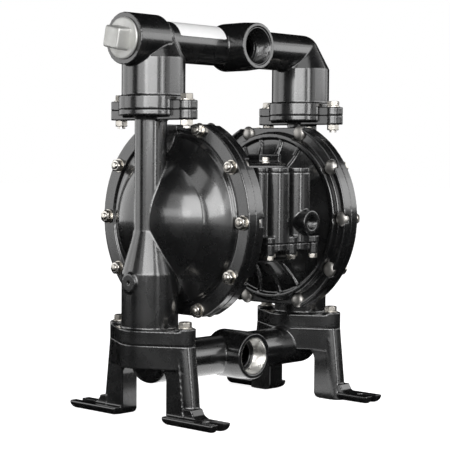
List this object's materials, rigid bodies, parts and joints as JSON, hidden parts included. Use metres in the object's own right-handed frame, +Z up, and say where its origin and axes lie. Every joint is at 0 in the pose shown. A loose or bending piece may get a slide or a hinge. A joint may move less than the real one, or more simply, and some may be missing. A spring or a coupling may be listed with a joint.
{
  "type": "air operated diaphragm pump",
  "caption": "Upright twin diaphragm pump of bolted castings: two domed end caps, pipe manifolds above and below with threaded ports, slotted feet.",
  "frame": {"origin": "on the floor, under the middle of the diaphragm rod", "axes": "+Z up, X along the diaphragm rod, the two fluid ports face -Y"},
  "size_m": [0.392, 0.2596, 0.4981],
  "materials": {
    "black_paint": "gloss",
    "stainless_fastener": "satin",
    "bare_aluminium": "satin",
    "steel_rod": "polished",
    "steel_insert": "satin",
    "diaphragm_rubber": "matte",
    "seal_rubber": "matte",
    "ball_plastic": "smooth",
    "bearing_plastic": "smooth",
    "muffler_plastic": "matte"
  },
  "bodies": {
    "pump_casing": {"air_cap_left": "black_paint", "air_cap_right": "black_paint", "cap_bolts_left": "stainless_fastener", "cap_bolts_right": "stainless_fastener", "cap_nuts_left": "stainless_fastener", "cap_nuts_right": "stainless_fastener", "center_body": "black_paint", "cover_bolts": "stainless_fastener", "diaphragm_left": "diaphragm_rubber", "diaphragm_right": "diaphragm_rubber", "end_plug": "bare_aluminium", "exhaust_muffler": "muffler_plastic", "fluid_cap_left": "black_paint", "fluid_cap_right": "black_paint", "front_gasket": "seal_rubber", "hub_bolts_left": "stainless_fastener", "hub_bolts_right": "stainless_fastener", "hub_gasket_left": "seal_rubber", "hub_gasket_right": "seal_rubber", "inlet_flange_bolts": "stainless_fastener", "inlet_manifold": "black_paint", "inlet_seat_left": "steel_insert", "inlet_seat_right": "steel_insert", "outlet_flange_bolts": "stainless_fastener", "outlet_flange_nuts": "stainless_fastener", "outlet_manifold": "black_paint", "outlet_seat_left": "steel_insert", "outlet_seat_right": "steel_insert", "rod_bushing_left": "bearing_plastic", "rod_bushing_right": "bearing_plastic", "rod_seal_left": "seal_rubber", "rod_seal_right": "seal_rubber", "seat_rings": "seal_rubber", "valve_bottom_cover": "black_paint", "valve_housing": "black_paint", "valve_top_cover": "black_paint"},
    "rod_assembly": {"diaphragm_rod": "steel_rod", "inner_washer_left": "steel_insert", "inner_washer_right": "steel_insert", "outer_washer_left": "steel_insert", "outer_washer_right": "steel_insert"},
    "pilot_rod": {"pilot_rod": "bearing_plastic"},
    "main_spool": {"valve_spool": "bearing_plastic"},
    "pilot_valve": {"pilot_spool": "bearing_plastic"},
    "outlet_check_left": {"outlet_ball_left": "ball_plastic"},
    "outlet_check_right": {"outlet_ball_right": "ball_plastic"},
    "inlet_check_left": {"inlet_ball_left": "ball_plastic"},
    "inlet_check_right": {"inlet_ball_right": "ball_plastic"}
  },
  "joints": [
    {"name": "rod_stroke", "type": "slide", "parent": "pump_casing", "child": "rod_assembly", "axis": [1, 0, 0], "range_m": [-0.014, 0.014], "deforming": ["diaphragm_left", "diaphragm_right"]},
    {"name": "pilot_rod_shift", "type": "slide", "parent": "pump_casing", "child": "pilot_rod", "axis": [1, 0, 0], "range_m": [-0.0035, 0.0035]},
    {"name": "main_spool_shift", "type": "slide", "parent": "pump_casing", "child": "main_spool", "axis": [0, 0, 1], "range_m": [0, 0.012]},
    {"name": "pilot_valve_shift", "type": "slide", "parent": "pump_casing", "child": "pilot_valve", "axis": [0, 0, 1], "range_m": [0, 0.012]},
    {"name": "outlet_lift_left", "type": "slide", "parent": "pump_casing", "child": "outlet_check_left", "axis": [0, 0, 1], "range_m": [0, 0.01]},
    {"name": "outlet_lift_right", "type": "slide", "parent": "pump_casing", "child": "outlet_check_right", "axis": [0, 0, 1], "range_m": [0, 0.01]},
    {"name": "inlet_lift_left", "type": "slide", "parent": "pump_casing", "child": "inlet_check_left", "axis": [0, 0, 1], "range_m": [0, 0.01]},
    {"name": "inlet_lift_right", "type": "slide", "parent": "pump_casing", "child": "inlet_check_right", "axis": [0, 0, 1], "range_m": [0, 0.01]}
  ],
  "couplings": [
    {"joint": "pilot_rod_shift", "follows": "rod_stroke", "ratio": 0.25}
  ]
}
